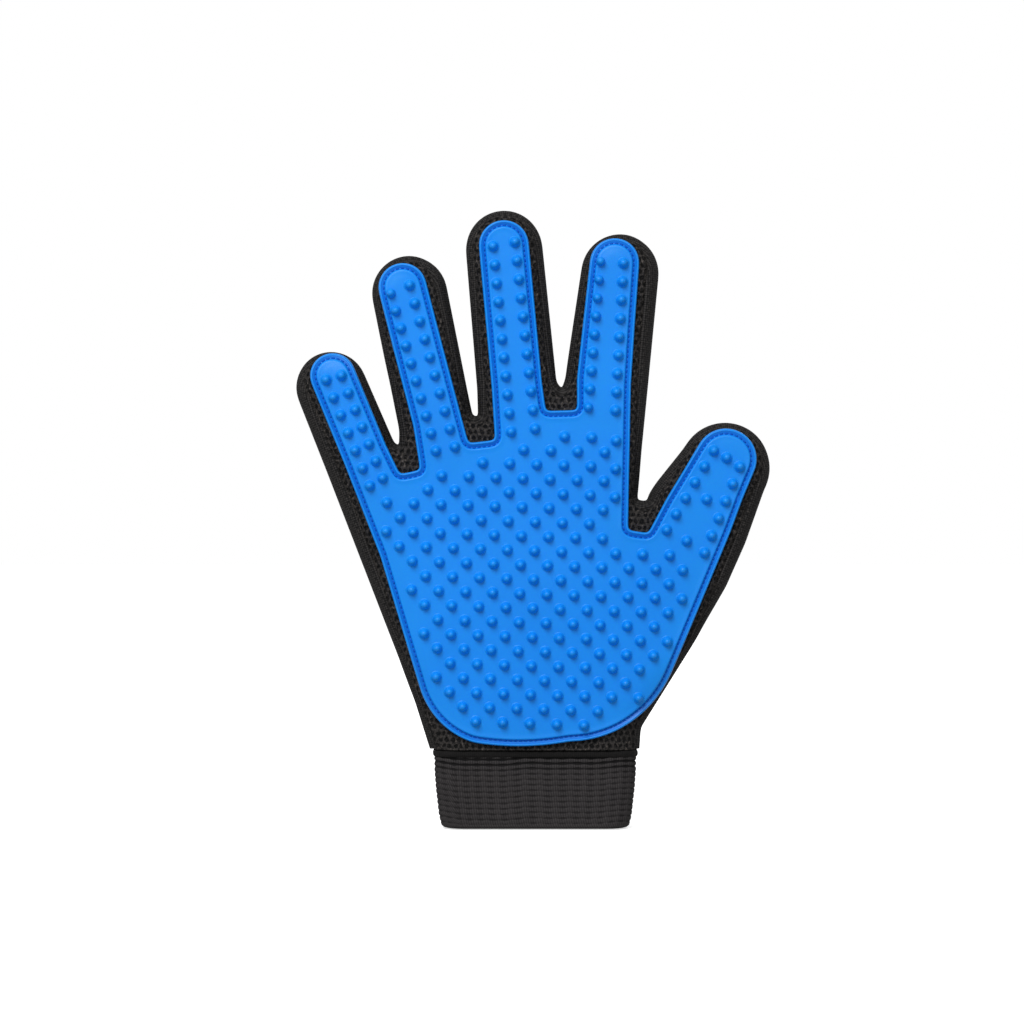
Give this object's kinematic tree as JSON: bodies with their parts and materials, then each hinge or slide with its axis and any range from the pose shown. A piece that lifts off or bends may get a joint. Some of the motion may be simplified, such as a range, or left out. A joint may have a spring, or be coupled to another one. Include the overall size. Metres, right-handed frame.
{
  "type": "grooming glove",
  "caption": "Pet grooming glove with nubbed silicone pads on palm and fingers, mesh front, knitted back, elastic cuff and hook-and-loop wrist strap.",
  "frame": {"origin": "centre of the wrist opening, on the bottom edge of the cuff", "axes": "+Z from the cuff to the fingertips, +X to the thumb side, -Y out of the palm side that carries the silicone pads"},
  "size_m": [0.1691, 0.0342, 0.2199],
  "materials": {
    "silicone": "matte silicone rubber",
    "mesh": "open air mesh",
    "knit": "fine stretch knit",
    "gusset": "smooth stretch fabric",
    "elastic": "ribbed elastic knit",
    "tape": "woven binding tape",
    "webbing": "woven nylon strap",
    "hook": "moulded nylon hooks",
    "loop": "brushed loop pile"
  },
  "bodies": {
    "cuff": {"cuff_band": "elastic", "cuff_hem_tape": "tape", "wrist_seam_tape": "tape", "strap_base": "webbing", "loop_patch": "loop"},
    "palm": {"palm_front_panel": "mesh", "palm_back_panel": "knit", "palm_pad": "silicone", "little_side_gusset": "gusset", "thumb_side_gusset": "gusset", "thumb_web_gusset": "gusset", "finger_crotch_gussets": "gusset"},
    "strap": {"strap_tab": "webbing", "hook_patch": "hook"},
    "little_proximal": {"little_proximal_pad": "silicone", "little_proximal_front": "mesh", "little_proximal_back": "knit", "little_proximal_gusset": "gusset"},
    "little_distal": {"little_distal_pad": "silicone", "little_distal_front": "mesh", "little_distal_back": "knit", "little_distal_gusset": "gusset"},
    "ring_proximal": {"ring_proximal_pad": "silicone", "ring_proximal_front": "mesh", "ring_proximal_back": "knit", "ring_proximal_gusset": "gusset"},
    "ring_distal": {"ring_distal_pad": "silicone", "ring_distal_front": "mesh", "ring_distal_back": "knit", "ring_distal_gusset": "gusset"},
    "middle_proximal": {"middle_proximal_pad": "silicone", "middle_proximal_front": "mesh", "middle_proximal_back": "knit", "middle_proximal_gusset": "gusset"},
    "middle_distal": {"middle_distal_pad": "silicone", "middle_distal_front": "mesh", "middle_distal_back": "knit", "middle_distal_gusset": "gusset"},
    "index_proximal": {"index_proximal_pad": "silicone", "index_proximal_front": "mesh", "index_proximal_back": "knit", "index_proximal_gusset": "gusset"},
    "index_distal": {"index_distal_pad": "silicone", "index_distal_front": "mesh", "index_distal_back": "knit", "index_distal_gusset": "gusset"},
    "thumb_proximal": {"thumb_proximal_pad": "silicone", "thumb_proximal_front": "mesh", "thumb_proximal_back": "knit", "thumb_proximal_gusset": "gusset"},
    "thumb_distal": {"thumb_distal_pad": "silicone", "thumb_distal_front": "mesh", "thumb_distal_back": "knit", "thumb_distal_gusset": "gusset"}
  },
  "joints": [
    {"name": "wrist_flex", "type": "hinge", "parent": "cuff", "child": "palm", "pos_m": [0, -0.0135, 0.028], "axis": [1, 0, 0], "range_deg": [0, 45], "stiffness_Nm_per_rad": 0.05},
    {"name": "little_knuckle", "type": "hinge", "parent": "palm", "child": "little_proximal", "pos_m": [-0.0626, -0.0189, 0.1322], "axis": [0.9239, 0, 0.3827], "range_deg": [0, 60], "stiffness_Nm_per_rad": 0.02},
    {"name": "little_middle_joint", "type": "hinge", "parent": "little_proximal", "child": "little_distal", "pos_m": [-0.06999, -0.0189, 0.15003], "axis": [0.9239, 0, 0.3827], "range_deg": [0, 70], "stiffness_Nm_per_rad": 0.01},
    {"name": "ring_knuckle", "type": "hinge", "parent": "palm", "child": "ring_proximal", "pos_m": [-0.0356, -0.0189, 0.14455], "axis": [0.9806, 0, 0.1959], "range_deg": [0, 60], "stiffness_Nm_per_rad": 0.02},
    {"name": "ring_middle_joint", "type": "hinge", "parent": "ring_proximal", "child": "ring_distal", "pos_m": [-0.04062, -0.0189, 0.16965], "axis": [0.9806, 0, 0.1959], "range_deg": [0, 70], "stiffness_Nm_per_rad": 0.01},
    {"name": "middle_knuckle", "type": "hinge", "parent": "palm", "child": "middle_proximal", "pos_m": [-0.0066, -0.0189, 0.1578], "axis": [0.9957, 0, 0.0924], "range_deg": [0, 60], "stiffness_Nm_per_rad": 0.02},
    {"name": "middle_middle_joint", "type": "hinge", "parent": "middle_proximal", "child": "middle_distal", "pos_m": [-0.00906, -0.0189, 0.18429], "axis": [0.9957, 0, 0.0924], "range_deg": [0, 70], "stiffness_Nm_per_rad": 0.01},
    {"name": "index_knuckle", "type": "hinge", "parent": "palm", "child": "index_proximal", "pos_m": [0.0255, -0.0189, 0.1587], "axis": [0.9925, 0, -0.1219], "range_deg": [0, 60], "stiffness_Nm_per_rad": 0.02},
    {"name": "index_middle_joint", "type": "hinge", "parent": "index_proximal", "child": "index_distal", "pos_m": [0.02786, -0.0189, 0.17796], "axis": [0.9925, 0, -0.1219], "range_deg": [0, 70], "stiffness_Nm_per_rad": 0.01},
    {"name": "thumb_knuckle", "type": "hinge", "parent": "palm", "child": "thumb_proximal", "pos_m": [0.058, -0.0189, 0.1107], "axis": [0.8746, 0, -0.4848], "range_deg": [0, 45], "stiffness_Nm_per_rad": 0.02},
    {"name": "thumb_middle_joint", "type": "hinge", "parent": "thumb_proximal", "child": "thumb_distal", "pos_m": [0.06435, -0.0189, 0.12216], "axis": [0.8746, 0, -0.4848], "range_deg": [0, 60], "stiffness_Nm_per_rad": 0.01},
    {"name": "strap_open", "type": "hinge", "parent": "cuff", "child": "strap", "pos_m": [-0.018, 0.01545, 0.014], "axis": [0, 0, 1], "range_deg": [0, 160]}
  ]
}
